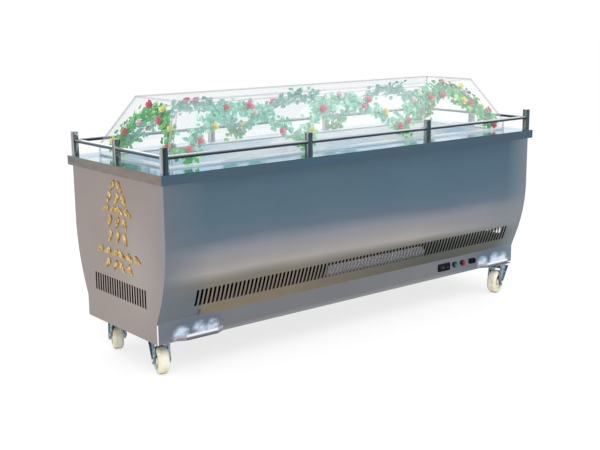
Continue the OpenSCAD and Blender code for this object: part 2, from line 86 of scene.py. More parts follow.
class Shader:
    """A material with one Principled BSDF and short calls for its nodes."""

    def __init__(self, name, colour, roughness, metallic=0.0, **plain):
        self.material = bpy.data.materials.new(name)
        self.material.use_nodes = True
        self.tree = self.material.node_tree
        self.bsdf = self.tree.nodes["Principled BSDF"]
        self.bsdf.inputs["Base Color"].default_value = colour
        self.bsdf.inputs["Roughness"].default_value = roughness
        self.bsdf.inputs["Metallic"].default_value = metallic
        for key, value in plain.items():
            self.bsdf.inputs[key.replace("_", " ")].default_value = value
        self.position = self.add("ShaderNodeTexCoord").outputs["Object"]

    def add(self, kind, **settings):
        node = self.tree.nodes.new(kind)
        for key, value in settings.items():
            setattr(node, key, value)
        return node

    def link(self, source, target):
        self.tree.links.new(source, target)

    def math(self, operation, a, b=None, c=None, clamp=False):
        node = self.add("ShaderNodeMath", operation=operation, use_clamp=clamp)
        for socket, value in zip(node.inputs, (a, b, c)):
            if isinstance(value, (int, float)):
                socket.default_value = value
            elif value is not None:
                self.link(value, socket)
        return node.outputs[0]

    def product(self, first, *others):
        """All the values multiplied together."""
        for value in others:
            first = self.math("MULTIPLY", first, value)
        return first

    def absolute(self, value):
        return self.math("ABSOLUTE", value)

    def noise(self, scale, stretch=(1, 1, 1), detail=3.0):
        mapping = self.add("ShaderNodeMapping")
        mapping.inputs["Scale"].default_value = stretch
        self.link(self.position, mapping.inputs["Vector"])
        node = self.add("ShaderNodeTexNoise")
        node.inputs["Scale"].default_value = scale
        node.inputs["Detail"].default_value = detail
        self.link(mapping.outputs[0], node.inputs["Vector"])
        return node.outputs["Fac"]

    def axis(self, index):
        """Position on the object, along X, Y or Z."""
        node = self.add("ShaderNodeSeparateXYZ")
        self.link(self.position, node.inputs[0])
        return node.outputs[index]

    def normal(self, index):
        """The surface normal's X, Y or Z."""
        node = self.add("ShaderNodeSeparateXYZ")
        self.link(self.add("ShaderNodeNewGeometry").outputs["Normal"], node.inputs[0])
        return node.outputs[index]

    def span(self, value, low, high):
        """0 at low and 1 at high, clamped."""
        node = self.add("ShaderNodeMapRange")
        node.inputs["From Min"].default_value = low
        node.inputs["From Max"].default_value = high
        self.link(value, node.inputs["Value"])
        return node.outputs[0]

    def hump(self, value, centre, flat, edge):
        """1 up to flat away from the centre, falling to 0 at edge."""
        return self.span(self.absolute(self.math("SUBTRACT", value, centre)), edge, flat)

    def spot(self, x, z, centre, radii):
        """1 in the middle of an ellipse in X and Z, falling to 0 at its edge."""
        dx = self.math("MULTIPLY_ADD", x, 1 / radii[0], -centre[0] / radii[0])
        dz = self.math("MULTIPLY_ADD", z, 1 / radii[1], -centre[1] / radii[1])
        square = self.math("ADD", self.math("MULTIPLY", dx, dx), self.math("MULTIPLY", dz, dz))
        return self.math("SUBTRACT", 1.0, square, clamp=True)

    def ramp(self, value, stops):
        """stops: place and colour, from low to high."""
        node = self.add("ShaderNodeValToRGB")
        elements = node.color_ramp.elements
        while len(elements) < len(stops):
            elements.new(0.5)
        for element, (place, colour) in zip(elements, stops):
            element.position = place
            element.color = colour
        self.link(value, node.inputs[0])
        return node.outputs["Color"]

    def mix(self, factor, a, b, blend="MIX"):
        node = self.add("ShaderNodeMix", data_type="RGBA", blend_type=blend)
        for socket, value in zip((node.inputs[0], node.inputs[6], node.inputs[7]), (factor, a, b)):
            if isinstance(value, bpy.types.NodeSocket):
                self.link(value, socket)
            else:
                socket.default_value = value
        return node.outputs[2]

    def colour(self, value):
        self.link(value, self.bsdf.inputs["Base Color"])

    def roughness(self, value):
        self.link(value, self.bsdf.inputs["Roughness"])

    def bump(self, height, strength, distance):
        node = self.add("ShaderNodeBump")
        node.inputs["Strength"].default_value = strength
        node.inputs["Distance"].default_value = distance
        self.link(height, node.inputs["Height"])
        self.link(node.outputs[0], self.bsdf.inputs["Normal"])

    def open_air(self, distance):
        """0 in a corner, 1 where nothing is within the distance."""
        node = self.add("ShaderNodeAmbientOcclusion", samples=8)
        node.inputs["Distance"].default_value = distance
        return node.outputs["AO"]

    def attribute(self, name):
        return self.add("ShaderNodeAttribute", attribute_name=name).outputs["Fac"]


def brushed(shader, grain, spread=0.08, base=0.3, strength=0.06):
    """Fine brushed lines across the sheet, in roughness and bump."""
    lines = shader.noise(180, grain, 4)
    shader.roughness(shader.math("MULTIPLY_ADD", lines, spread, base - spread / 2))
    shader.bump(lines, strength, 0.4 * MM)
    return lines


def cloudy(shader, colour, lines, amount=0.12):
    """Darker and lighter patches of the brushed sheet."""
    patches = shader.noise(2.2, (1, 1, 1.6), 5)
    mixed = shader.math("ADD", shader.product(patches, 0.75), shader.product(lines, 0.25))
    value = shader.span(mixed, 0.3, 0.7)
    dark = shader.mix(amount, colour, srgb(40, 46, 52), "MULTIPLY")
    return shader.mix(value, dark, colour)


def colour_node(shader, colour):
    """The same colour as a slightly uneven ramp, so that no sheet is one flat tone."""
    darker = tuple(c * 0.88 for c in colour[:3]) + (1,)
    return shader.ramp(shader.noise(14, (1, 1, 1), 4), [(0.35, darker), (0.65, colour)])


# Heights just below and above the crease between a side sheet's slope and its skirt
CREASE_LOW = 252 * MM
CREASE_HIGH = 257 * MM
# Painted shade: the near-black of faces that look into the cabinet and of slot walls
INSIDE_SHADE_COLOUR = srgb(26, 26, 30)
# Near-white of the painted highlight along the skirt's corner
CORNER_HIGHLIGHT_COLOUR = srgb(252, 252, 255)
# How near a surface has to be to shade a castor
SHADE_REACH = 30 * MM


def corner_highlight(shader, colour, along, z, corner):
    """A painted highlight: the thin bright line where the skirt meets the end sheet, at corner on the
    axis along.
    """
    edge = shader.product(
        shader.span(along, corner + 3.5 * MM, corner + 1.5 * MM),
        shader.span(z, CREASE_LOW, CREASE_LOW - 6 * MM),
    )
    return shader.mix(edge, colour, CORNER_HIGHLIGHT_COLOUR)


def side_reflection_bands(shader, x, z, low, high):
    """Painted reflections of the surroundings: the side sheet's soft bands from foot to top, which
    wander and tilt a little above the slope.
    """
    drift = shader.noise(1.3, (0.7, 1, 1.4), 4)
    lift = shader.math("MULTIPLY_ADD", drift, 0.10, -0.05)
    tilt = shader.math("MULTIPLY", x, 0.026)
    slant = shader.product(shader.math("ADD", lift, tilt), shader.span(z, 0.32, 0.42))
    height = shader.span(shader.math("ADD", z, slant), low.z, high.z)
    return shader.ramp(height, [
        (0.00, srgb(146, 148, 150)), (0.03, srgb(122, 123, 127)), (0.122, srgb(119, 122, 129)),
        (0.128, srgb(132, 122, 104)), (0.17, srgb(132, 122, 106)), (0.30, srgb(132, 126, 116)),
        (0.36, srgb(170, 166, 162)), (0.42, srgb(157, 153, 155)), (0.48, srgb(143, 145, 152)),
        (0.56, srgb(102, 115, 130)), (0.66, srgb(90, 112, 126)), (0.84, srgb(84, 107, 122)),
        (1.00, srgb(68, 86, 96)),
    ])


def slope_tones(shader, colour, x, z, front, mottle):
    """Painted reflections on the slope: tan to the left, dark to the right, grey beyond the tan
    strip's dark end.
    """
    strip_end = -0.93
    slope = shader.product(
        shader.span(z, CREASE_LOW + 1 * MM, CREASE_HIGH), shader.span(z, 0.42, 0.35)
    )
    lower = shader.product(slope, shader.span(z, 0.32, 0.28))
    # A tan painted reflection low on the slope to the left, then an olive painted reflection in
    # mottled patches
    tan_reflection = shader.product(lower, shader.span(x, -0.15, -0.6), front, 0.7)
    colour = shader.mix(tan_reflection, colour, srgb(140, 124, 105))
    colour = shader.mix(shader.product(lower, mottle, 0.4), colour, srgb(118, 120, 88))
    # Darker painted reflection to the right, and grey beyond the tan strip's end
    far = shader.product(slope, shader.span(x, -0.45, 0.45), 0.88)
    colour = shader.mix(far, colour, srgb(76, 82, 78))
    near = shader.product(slope, shader.span(x, strip_end + 0.015, strip_end - 0.010), 0.92)
    colour = shader.mix(near, colour, srgb(106, 114, 117))
    # A small dark painted reflection at the tan strip's dark end
    reflection_notch = shader.spot(x, z, (strip_end, 0.272), (0.012, 0.02))
    return shader.mix(shader.product(reflection_notch, front, 0.7), colour, srgb(62, 60, 62))


def side_ends(shader, colour, x, z, skirt, low, high):
    """Painted reflections: the side sheet is cooler to the right and greyer at both ends, with blue
    patches above.
    """
    patches = shader.noise(1.1, (0.8, 1, 0.5), 3)
    blue = shader.product(shader.span(patches, 0.45, 0.7), shader.span(z, 0.45, 0.75), 0.5)
    colour = shader.mix(blue, colour, srgb(76, 106, 132))
    band = shader.product(
        shader.span(z, 0.34, 0.40), shader.span(z, 0.56, 0.48), shader.span(x, 0.35, 0.9), 0.75
    )
    colour = shader.mix(band, colour, srgb(124, 130, 136))
    cool = shader.product(shader.span(x, 0.55, 0.9), skirt, 0.75)
    colour = shader.mix(cool, colour, srgb(94, 108, 120))
    left = shader.product(shader.span(x, low.x + 0.22, low.x), 0.8)
    colour = shader.mix(left, colour, srgb(112, 122, 132))
    right = shader.product(shader.span(x, high.x - 0.16, high.x), 0.85)
    return shader.mix(right, colour, srgb(128, 138, 148))


# Painted glare in soft white spots above a front bracket: place along it, half width and height,
# the first two as shares of its length
GLARE_SPOTS = ((0.10, 0.21, 0.044), (0.50, 0.20, 0.052), (0.76, 0.19, 0.048))


def bracket_glare(shader, colour, x, z, front, mottle):
    """Painted glare that each front bracket throws on the skirt, with a bluer painted reflection round
    it.
    """
    ragged = shader.span(shader.noise(34, (0.8, 1, 1.5), 5), 0.34, 0.62)
    for bracket in ("bracket_front_left", "bracket_front_right"):
        left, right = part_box(bracket)
        run = right.x - left.x
        top = right.z
        # Bluer painted reflection round the glare
        around = shader.spot(x, z, (left.x + 0.45 * run, top + 28 * MM), (0.66 * run, 60 * MM))
        around = shader.product(around, front, shader.math("MULTIPLY_ADD", mottle, 0.4, 0.35))
        colour = shader.mix(around, colour, srgb(78, 104, 128))
        for place, wide, tall in GLARE_SPOTS:
            # The painted glare spots themselves
            core = shader.spot(x, z, (left.x + place * run, top), (wide * run, tall))
            softened = shader.math("MULTIPLY_ADD", core, 0.5, ragged)
            glare = shader.math("MULTIPLY", core, softened, clamp=True)
            colour = shader.mix(shader.product(glare, front), colour, srgb(208, 222, 240))
    return colour


def side_steel():
    """Long side sheets, coloured with painted reflections: slate above, a pale band low on the curve,
    grey on the skirt.
    """
    shader = Shader("side_steel", srgb(120, 126, 134), 0.3, 0.9)
    low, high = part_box("front_panel")
    x = shader.axis(0)
    z = shader.axis(2)
    skirt = shader.span(z, CREASE_HIGH, CREASE_LOW)
    lines = shader.noise(180, (0.02, 1, 1), 4)
    base = shader.math("MULTIPLY_ADD", skirt, -0.11, 0.25)
    shader.roughness(shader.math("MULTIPLY_ADD", lines, 0.1, base))
    shader.bump(lines, 0.04, 0.4 * MM)
    front = shader.span(shader.axis(1), 0.0, -0.1)
    mottle = shader.span(shader.noise(24, (0.5, 1, 1.6), 5), 0.4, 0.62)
    colour = side_reflection_bands(shader, x, z, low, high)
    colour = slope_tones(shader, colour, x, z, front, mottle)
    colour = side_ends(shader, colour, x, z, skirt, low, high)
    colour = cloudy(shader, colour, lines, 0.10)
    colour = bracket_glare(shader, colour, x, z, front, mottle)
    # Painted shade on the faces that look into the cabinet
    inside = shader.span(shader.product(shader.normal(1), shader.axis(1)), 0.0, -0.1)
    colour = shader.mix(inside, colour, INSIDE_SHADE_COLOUR)
    shader.colour(corner_highlight(shader, colour, x, z, low.x))
    return shader.material


def end_steel():
    """End sheets: warm grey, brushed upright, with a painted reflection in a soft paler middle, a
    painted sheen, and slots darkened with painted shade.
    """
    shader = Shader("end_steel", srgb(152, 143, 139), 0.34, 0.85)
    lines = brushed(shader, (1, 1, 0.02), 0.1, 0.34, 0.05)
    y = shader.axis(1)
    z = shader.axis(2)
    # Painted reflection: a soft paler middle, and greyer towards the front at the top
    glow = shader.product(shader.hump(y, -0.14, 0.0, 0.24), shader.hump(z, 0.47, 0.05, 0.30), 0.9)
    colour = shader.mix(glow, srgb(154, 144, 140), srgb(171, 166, 163))
    upper_front = shader.product(shader.span(y, -0.27, -0.36), shader.span(z, 0.42, 0.56))
    colour = shader.mix(upper_front, colour, srgb(148, 145, 146))
    # Painted sheen in warm patches
    sheen = shader.span(shader.noise(2.4, (1, 1, 0.6), 3), 0.45, 0.7)
    colour = shader.mix(shader.product(sheen, 0.35), colour, srgb(163, 149, 140))
    colour = cloudy(shader, colour, lines, 0.08)
    # Painted shade on the faces that look into the cabinet and on the walls of the slots
    inside = shader.span(shader.product(shader.normal(0), shader.axis(0)), 0.0, -0.2)
    slot_wall = shader.product(
        shader.span(shader.absolute(shader.normal(0)), 0.5, 0.3),
        shader.span(shader.absolute(y), 0.33, 0.31),
    )
    colour = shader.mix(shader.math("MAXIMUM", inside, slot_wall), colour, INSIDE_SHADE_COLOUR)
    skirt_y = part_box("bracket_front_left")[1].y
    shader.colour(corner_highlight(shader, colour, y, z, skirt_y))
    return shader.material


def deck_steel():
    """Polished deck, coloured with painted reflections: pale blue on top, and its rim slate blue on
    the long sides and grey-tan on the ends.
    """
    shader = Shader("deck_steel", srgb(170, 208, 230), 0.1, 0.9)
    lines = brushed(shader, (0.02, 1, 1), 0.06, 0.11, 0.03)
    top = shader.ramp(shader.noise(7, (0.25, 1, 1), 5), [
        (0.30, srgb(84, 146, 180)), (0.44, srgb(134, 192, 222)), (0.60, srgb(204, 232, 248)),
    ])
    slate = shader.ramp(shader.noise(2.5, (0.6, 1, 1), 4), [
        (0.35, srgb(76, 92, 104)), (0.65, srgb(69, 97, 115)),
    ])
    tan = shader.ramp(shader.noise(14, (1, 0.5, 1.5), 5), [
        (0.32, srgb(98, 106, 116)), (0.46, srgb(128, 118, 112)), (0.66, srgb(140, 126, 114)),
    ])
    colour = shader.mix(shader.absolute(shader.normal(1)), top, slate)
    colour = shader.mix(shader.absolute(shader.normal(0)), colour, tan)
    shader.colour(cloudy(shader, colour, lines, 0.08))
    return shader.material


def plain_steel(name, colour, roughness=0.28, metallic=0.9):
    """Brushed sheet of one colour."""
    shader = Shader(name, colour, roughness, metallic)
    lines = brushed(shader, (0.05, 1, 1), 0.08, roughness, 0.05)
    shader.colour(cloudy(shader, colour_node(shader, colour), lines, 0.15))
    return shader.material


def chamber_steel():
    """Matt lining, white with pale blue streaks."""
    shader = Shader("chamber_steel", srgb(240, 248, 255), 0.45)
    shader.colour(shader.ramp(shader.noise(6, (0.25, 1, 1.4), 5), [
        (0.34, srgb(186, 222, 248)), (0.46, srgb(232, 244, 255)), (0.56, srgb(255, 255, 255))
    ]))
    return shader.material


def post_steel():
    """Polished square tube with painted reflections: the front row is dark to the front, the rest
    mottled grey, and the faces towards the ends pale and streaked.
    """
    shader = Shader("post_steel", srgb(90, 100, 108), 0.18, 0.9)
    lines = brushed(shader, (1, 1, 0.03), 0.08, 0.2, 0.05)
    streaks = shader.noise(60, (1, 1, 0.05), 3)
    pale = shader.ramp(streaks, [(0.35, srgb(112, 112, 108)), (0.6, srgb(186, 190, 190))])
    dark = shader.ramp(streaks, [(0.35, srgb(34, 50, 58)), (0.65, srgb(74, 94, 106))])
    mottled = shader.ramp(shader.noise(45, (1, 1, 0.6), 4), [
        (0.38, srgb(92, 100, 98)), (0.5, srgb(138, 146, 144)), (0.62, srgb(196, 204, 206)),
    ])
    front_row = shader.span(shader.axis(1), -0.30, -0.31)
    facing = shader.mix(front_row, mottled, dark)
    colour = shader.mix(shader.absolute(shader.normal(1)), pale, facing)
    shader.colour(cloudy(shader, colour, lines, 0.1))
    return shader.material


def rail_steel():
    """Polished round tube, with painted shade on its underside and a painted highlight on top."""
    shader = Shader("rail_steel", srgb(150, 156, 162), 0.16, 0.92)
    lines = brushed(shader, (0.03, 1, 1), 0.06, 0.18, 0.04)
    up = shader.span(shader.normal(2), -1, 1)
    # Painted shade below, rising to a painted highlight on top
    tone = shader.ramp(up, [
        (0.0, srgb(34, 38, 44)), (0.40, srgb(48, 52, 60)), (0.56, srgb(78, 86, 94)),
        (0.70, srgb(128, 138, 144)), (0.84, srgb(196, 204, 208)), (1.0, srgb(226, 232, 236))
    ])
    shader.colour(cloudy(shader, tone, lines, 0.1))
    return shader.material


def bracket_steel():
    """Folded step plate of one steel: a painted highlight on its top and lip, and painted shade on the
    lower front and the bevelled ends.
    """
    shader = Shader("bracket_steel", srgb(160, 160, 164), 0.2, 0.8)
    lines = brushed(shader, (0.05, 1, 1), 0.08, 0.22, 0.05)
    low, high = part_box("bracket_front_left")
    # Painted shade low on the front, rising to a painted highlight on the lip
    colour = shader.ramp(shader.span(shader.axis(2), low.z, high.z), [
        (0.0, srgb(96, 97, 102)), (0.50, srgb(124, 124, 130)),
        (0.60, srgb(238, 241, 246)), (1.0, srgb(250, 251, 255)),
    ])
    # Painted shade on the bevelled ends
    bevel = shader.span(shader.absolute(shader.normal(0)), 0.3, 0.5)
    colour = shader.mix(bevel, colour, srgb(146, 143, 154))
    # Painted highlight on the top
    top = shader.span(shader.normal(2), 0.3, 0.7)
    colour = shader.mix(top, colour, srgb(240, 244, 250))
    shader.colour(cloudy(shader, colour, lines, 0.08))
    return shader.material


def acrylic(name, colour, alpha, coat_ior):
    """Clear cast acrylic: see-through, with a little haze and a strong gloss."""
    shader = Shader(
        name, colour, 0.08,
        Alpha=alpha, IOR=1.49, Coat_Weight=1.0, Coat_IOR=coat_ior, Coat_Roughness=0.02,
    )
    darker = tuple(0.96 * c for c in colour[:3]) + (1,)
    shader.colour(shader.ramp(shader.noise(3, (0.3, 1, 1), 3), [(0.35, darker), (0.65, colour)]))
    return shader.material


def opal():
    """Milky acrylic of the cover's foot."""
    shader = Shader("opal", srgb(234, 242, 248), 0.22, Coat_Weight=0.5)
    shader.colour(shader.ramp(shader.noise(9, (0.3, 1, 1), 3), [
        (0.35, srgb(214, 230, 238)), (0.65, srgb(244, 249, 252)),
    ]))
    return shader.material


def gold():
    """Gilt relief, mottled like leaf that was laid by hand."""
    shader = Shader("gold", srgb(206, 158, 66), 0.36, 0.75)
    grain = shader.noise(70, (1, 1, 1), 5)
    shader.colour(shader.ramp(grain, [
        (0.28, srgb(96, 74, 34)), (0.40, srgb(168, 130, 58)),
        (0.52, srgb(206, 166, 82)), (0.68, srgb(234, 212, 150)),
    ]))
    shader.bump(grain, 0.35, 1 * MM)
    return shader.material


def segment_material():
    """Dim grey of the display's figures."""
    shader = Shader("segments", srgb(110, 116, 126), 0.5)
    shader.colour(colour_node(shader, srgb(96, 100, 112)))
    return shader.material


def black_plastic():
    """Near-black moulded plastic with a fine grain."""
    shader = Shader("black_plastic", srgb(10, 10, 13), 0.6, Specular_IOR_Level=0.12)
    grain = shader.noise(400, (1, 1, 1), 2)
    shader.colour(shader.ramp(grain, [(0.35, srgb(4, 4, 8)), (0.65, srgb(16, 17, 22))]))
    shader.bump(grain, 0.1, 0.3 * MM)
    return shader.material


def lens(name, dark, light):
    """Tinted lens: deep at its rim, bright and cloudy in the middle, with a painted highlight on the
    faces that look to the front.
    """
    shader = Shader(
        name, light, 0.2, Specular_IOR_Level=0.25, Coat_Weight=0.15, Coat_IOR=1.5
    )
    # Painted highlight on the faces that look to the front
    facing = shader.span(shader.math("MULTIPLY", shader.normal(1), -1.0), 0.3, 1.0)
    base = shader.math("MULTIPLY_ADD", facing, 0.5, -0.85)
    cloud = shader.math("MULTIPLY_ADD", shader.noise(110, (1, 1, 1), 3), 1.5, base)
    shader.colour(shader.ramp(cloud, [(0.0, dark), (0.55, light)]))
    return shader.material


def castor_metal():
    """Zinc-plated pressed steel, faintly blue and mottled, with painted shade in its corners."""
    shader = Shader("castor_metal", srgb(132, 150, 164), 0.3, 0.85)
    spangle = shader.noise(60, (1, 1, 1), 4)
    tone = shader.ramp(spangle, [
        (0.30, srgb(84, 108, 122)), (0.50, srgb(122, 144, 158)), (0.70, srgb(184, 198, 206)),
    ])
    # Painted shade where other surfaces are near
    shade = shader.span(shader.open_air(SHADE_REACH), 0.55, 0.1)
    shader.colour(shader.mix(shade, tone, srgb(28, 26, 26)))
    shader.bump(spangle, 0.08, 0.5 * MM)
    return shader.material


def bolt_metal():
    """Bright plated bolt heads."""
    shader = Shader("bolt_metal", srgb(236, 240, 244), 0.3, 0.5)
    shader.colour(colour_node(shader, srgb(240, 243, 246)))
    return shader.material


def tread():
    """Cream wheel, a little scuffed, and brown where the fork shades it."""
    shader = Shader("tread", srgb(250, 244, 212), 0.4)
    scuff = shader.noise(30, (1, 1, 1), 5)
    tone = shader.ramp(scuff, [
        (0.26, srgb(228, 210, 158)), (0.40, srgb(252, 244, 212)), (0.62, srgb(255, 253, 238)),
    ])
    shade = shader.span(shader.open_air(SHADE_REACH), 0.6, 0.15)
    shader.colour(shader.mix(shade, tone, srgb(120, 96, 56)))
    shader.bump(scuff, 0.1, 0.6 * MM)
    return shader.material


def leaf_material():
    """Silk leaves: green, and washed out to pale teal where the slopes veil them, a painted reflection
    of the slopes.
    """
    shader = Shader("silk_leaf", srgb(40, 150, 80), 0.55)
    green = shader.ramp(shader.attribute("tone"), [
        (0.0, srgb(0, 126, 40)), (0.35, srgb(0, 180, 64)),
        (0.7, srgb(40, 214, 88)), (1.0, srgb(184, 244, 84)),
    ])
    pale = shader.ramp(shader.attribute("tone"), [
        (0.0, srgb(96, 204, 194)), (0.5, srgb(146, 234, 224)), (1.0, srgb(208, 250, 244)),
    ])
    # Painted reflection of the slopes in front
    colour = shader.mix(shader.attribute("veil"), green, pale)
    veins = shader.noise(260, (1, 1, 1), 3)
    shader.colour(shader.mix(shader.product(veins, 0.10), colour, srgb(10, 100, 60)))
    shader.bump(veins, 0.2, 0.6 * MM)
    return shader.material


def petal_material(name, deep, light):
    """Silk petals: deep in the heart, light towards the lips, a little washed out by the slopes'
    painted reflection.
    """
    shader = Shader(name, light, 0.5)
    tone = shader.ramp(shader.attribute("tone"), [(0.0, deep), (0.55, light), (1.0, light)])
    washed = shader.product(shader.attribute("veil"), 0.15)
    colour = shader.mix(washed, tone, srgb(250, 226, 236))
    threads = shader.noise(320, (1, 1, 1), 2)
    shader.colour(shader.mix(shader.product(threads, 0.15), colour, deep))
    shader.bump(threads, 0.15, 0.5 * MM)
    return shader.material


def stem_material():
    """Wrapped wire stems, washed out by the slopes' painted reflection as the leaves are."""
    shader = Shader("stem", srgb(40, 110, 60), 0.6)
    green = shader.ramp(shader.noise(120, (1, 1, 1), 3), [
        (0.3, srgb(24, 92, 44)), (0.7, srgb(84, 150, 80)),
    ])
    shader.colour(shader.mix(shader.attribute("veil"), green, srgb(140, 200, 194)))
    return shader.material


def paint_cover():
    """Clear sheets: more haze on the long outer slopes, which paints their pale reflection, hardly any
    inside, and denser cut edges.
    """
    sheets = (
        acrylic("acrylic", srgb(236, 244, 252), 0.06, 5.0),
        acrylic("acrylic_slope", srgb(246, 251, 255), 0.11, 3.6),
        acrylic("acrylic_inner", srgb(240, 247, 254), 0.03, 4.0),
        acrylic("acrylic_edge", srgb(160, 172, 184), 0.5, 2.0),
    )
    plain, slope, inner, edge = range(4)
    widest_edge = 12 * MM
    for name, node in NODES.items():
        if not name.startswith(("cover_outer", "cover_inner")):
            continue
        mesh = node.data
        mesh.materials.clear()
        for sheet in sheets:
            mesh.materials.append(sheet)
        long_side = name.endswith(("front", "back"))
        for polygon in mesh.polygons:
            corners = [mesh.vertices[i].co for i in polygon.vertices]
            longest = max((a - b).length for a in corners for b in corners)
            leaning = 0.3 < abs(polygon.normal.z) < 0.95
            if 2 * polygon.area / longest < widest_edge:
                polygon.material_index = edge
            elif name.startswith("cover_inner"):
                polygon.material_index = inner
            else:
                polygon.material_index = slope if long_side and leaning else plain


def paint(node, material):
    """Gives a CAD node one material."""
    slots = NODES[node].material_slots
    for slot in slots:
        slot.material = material
    if not slots:
        NODES[node].data.materials.append(material)


def paint_cad_nodes():
    """Paints every CAD node by the start of its name, and the wheels and axles by its end."""
    side = side_steel()
    end = end_steel()
    post = post_steel()
    rail = rail_steel()
    metal = castor_metal()
    bolt = bolt_metal()
    cream = tread()
    by_prefix = {
        "front_panel": side, "back_panel": side, "left_end": end, "right_end": end,
        "deck": deck_steel(), "base_plate": plain_steel("base_steel", srgb(88, 90, 92), 0.4),
        "grille_baffle": plain_steel("baffle_steel", srgb(196, 202, 216), 0.4, 0.1),
        "chamber_tub": chamber_steel(),
        "post_": post, "rail_": rail, "cover_foot": opal(),
        "gold_strokes": gold(), "display": black_plastic(), "power_inlet": black_plastic(),
        "bracket_": bracket_steel(), "castor_": metal,
    }
    for name in NODES:
        for prefix, material in by_prefix.items():
            if name.startswith(prefix):
                paint(name, material)
        if name.endswith("_wheel"):
            paint(name, cream)
        if name.endswith("_axle"):
            paint(name, bolt)
    paint_cover()


# ---- The cover's walls ----

class Wall:
    """The space between the outer and the inner sheet on one side of the cover."""

    def __init__(self, side):
        low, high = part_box("cover_outer_" + side)
        top_low, top_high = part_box("cover_outer_top")
        inner_low, inner_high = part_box("cover_inner_" + side)
        self.along = 0 if side in ("front", "back") else 1
        across = 1 - self.along
        self.sign = -1 if side in ("front", "left") else 1
        outer_face = low if self.sign < 0 else high
        inner_face = inner_low if self.sign < 0 else inner_high
        top_face = top_low if self.sign < 0 else top_high
        self.foot = abs(outer_face[across])
        self.base_z = low.z
        self.top_z = top_high.z
        self.fold_z = max(
            v.co.z for v in NODES["cover_outer_" + side].data.vertices
            if abs(abs(v.co[across]) - self.foot) < 0.1 * MM
        )
        self.lean = (self.foot - abs(top_face[across])) / (top_low.z - self.fold_z)
        sheet = top_high.z - top_low.z
        self.gap = self.foot - abs(inner_face[across]) - sheet
        self.middle = sheet + self.gap / 2

    def perp(self, z, depth):
        """Distance from the middle plane to the surface that lies depth inside the outer sheet."""
        angle = math.atan(self.lean)
        if z <= self.fold_z - depth * math.tan(angle / 2):
            return self.foot - depth
        return self.foot - self.lean * (z - self.fold_z) - depth / math.cos(angle)

    def place(self, s, z):
        """Point in the middle of the space, with its outward, upward and sideways directions."""
        point = Vector((0, 0, z))
        point[self.along] = s
        point[1 - self.along] = self.sign * self.perp(z, self.middle)
        angle = 0 if z < self.fold_z - 0.006 else math.atan(self.lean)
        out = Vector((0, 0, math.sin(angle)))
        out[1 - self.along] = self.sign * math.cos(angle)
        side = Vector((0, 0, 0))
        side[self.along] = 1
        up = out.cross(side)
        if up.z < 0:
            up = -up
        return point, out, up, side


WALLS = {side: Wall(side) for side in SIDES}


def reach(wall, z):
    """How far the space runs along the wall at height z, up to the neighbouring wall's space."""
    neighbour = WALLS["left" if wall.along == 0 else "front"]
    return neighbour.perp(z, neighbour.middle)


# ---- Garlands ----

# How far silk may lie to either side of the middle of the space
HALF_SPACE = 16 * MM


class Mesh:
    """Collects vertices, faces and two numbers per vertex."""

    def __init__(self):
        self.verts = []
        self.faces = []
        self.tone = []
        self.veil = []

    def add(self, verts, faces, tone, veil):
        start = len(self.verts)
        self.verts += verts
        self.faces += [tuple(start + i for i in face) for face in faces]
        self.tone += tone if isinstance(tone, list) else [tone] * len(verts)
        self.veil += veil if isinstance(veil, list) else [veil] * len(verts)

    def piece(self, name, material, slot):
        piece = add_piece(name, self.verts, self.faces, material, smooth=True)
        for key, values in (("tone", self.tone), ("veil", self.veil)):
            attribute = piece.data.attributes.new(key, "FLOAT", "POINT")
            attribute.data.foreach_set("value", values)
        return piece


def veil_at(wall, side, s, z):
    """How much a slope's painted reflection washes out what lies behind it."""
    if z < wall.fold_z:
        return 0.0
    rise = min(1.0, (z - wall.fold_z) / 0.05)
    if side in ("left", "right"):
        return 0.06 * rise
    if side == "front":
        return rise * (0.70 - 0.55 * max(0.0, min(1.0, (s - 0.35) / 0.45)))
    return 0.78 * rise


def garland_z(side, s):
    """Height of the garland's middle line above the cover's foot."""
    wall = WALLS[side]
    low = 0.030
    high = wall.top_z - wall.base_z - 0.055
    first, period = (-0.93, 0.63) if wall.along == 0 else (-0.24, 0.48)
    phase = (s - first) / period
    return low + (high - low) * abs(math.sin(math.pi * phase)) ** 0.75


def garland_path(side, step=0.008):
    """Points along a garland, evenly spaced: (s, z)."""
    wall = WALLS[side]
    span = reach(wall, wall.base_z) - 0.03
    count = 4000
    points = []
    last = None
    for i in range(count + 1):
        s = -span + 2 * span * i / count
        z = wall.base_z + garland_z(side, s)
        if abs(s) > reach(wall, z) - 0.02:
            continue
        if last is None or math.hypot(s - last[0], z - last[1]) >= step:
            points.append((s, z))
            last = (s, z)
    return points


# Rows of a leaf: place along it and half width, as shares of its length
LEAF_ROWS = ((0.0, 0.04), (0.18, 0.30), (0.42, 0.42), (0.68, 0.30), (0.88, 0.12), (1.0, 0.0))


def leaf_shape(length, curl, fold):
    """An ovate leaf along +X, folded along its vein: vertices and faces."""
    verts = []
    for along, half in LEAF_ROWS:
        drop = -curl * along * along * length
        for side in (-1, 0, 1):
            lift = fold * abs(side) * half * length
            verts.append(Vector((along * length, side * half * length, drop + lift)))
    faces = []
    for row in range(len(LEAF_ROWS) - 1):
        for column in (0, 1):
            a = 3 * row + column
            faces.append((a, a + 1, a + 4, a + 3))
    return verts, faces


def put(wall, s, z, local, limit=HALF_SPACE):
    """Carries local points (right, up, out) to the wall at (s, z), kept inside the space."""
    point, out, up, side = wall.place(s, z)
    carried = []
    for v in local:
        depth = max(-limit, min(limit, v.z))
        carried.append(point + side * v.x + up * v.y + out * depth)
    return carried


